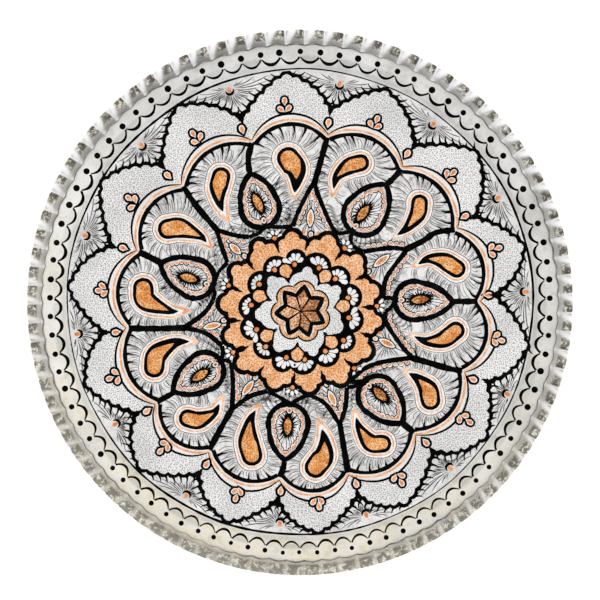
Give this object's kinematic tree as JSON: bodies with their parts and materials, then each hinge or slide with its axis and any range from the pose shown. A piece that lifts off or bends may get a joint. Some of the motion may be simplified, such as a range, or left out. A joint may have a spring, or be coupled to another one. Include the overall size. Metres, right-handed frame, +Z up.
{
  "type": "round serving tray",
  "caption": "Shallow round copper serving tray with a crimped lip, a tinned inside and chased flower and paisley lines filled with black.",
  "frame": {"origin": "middle of the flat underside, bottom centre of the bounding box", "axes": "+Z up out of the tray, square to its floor; +Y towards the top edge and +X towards the right edge as the tray is seen from straight above"},
  "size_m": [0.3, 0.2999, 0.013],
  "materials": {
    "copper": "hammered copper, dull outside and scraped bright where it shows inside",
    "tin": "wiped tin, bright with a fine grain, stippled in the petals",
    "lacquer": "black lacquer rubbed into the chased lines, satin"
  },
  "bodies": {
    "root": {"copper_sheet": "copper", "tin_wall_lining": "tin", "tin_petal_lining": "tin", "tin_paisley_lining": "tin", "tin_rosette_lining": "tin", "lacquer_floor_edge_line": "lacquer", "lacquer_petal_border": "lacquer", "lacquer_medallion_fine_line": "lacquer", "lacquer_medallion_line": "lacquer", "lacquer_rosette_outer_line": "lacquer", "lacquer_rosette_scallop_line": "lacquer", "lacquer_field_line": "lacquer", "lacquer_star_fine_line": "lacquer", "lacquer_star_outline": "lacquer", "lacquer_eye_outline_1": "lacquer", "lacquer_eye_outline_2": "lacquer", "lacquer_eye_outline_3": "lacquer", "lacquer_eye_outline_4": "lacquer", "lacquer_eye_outline_5": "lacquer", "lacquer_eye_outline_6": "lacquer", "lacquer_eye_outline_7": "lacquer", "lacquer_paisley_outline_1": "lacquer", "lacquer_paisley_outline_2": "lacquer", "lacquer_paisley_outline_3": "lacquer", "lacquer_paisley_outline_4": "lacquer", "lacquer_paisley_outline_5": "lacquer", "lacquer_paisley_outline_6": "lacquer", "lacquer_paisley_outline_7": "lacquer", "lacquer_paisley_outline_8": "lacquer", "lacquer_paisley_outline_9": "lacquer", "lacquer_paisley_outline_10": "lacquer", "lacquer_paisley_outline_11": "lacquer", "lacquer_paisley_outline_12": "lacquer", "lacquer_paisley_outline_13": "lacquer", "lacquer_paisley_outline_14": "lacquer"}
  },
  "joints": []
}
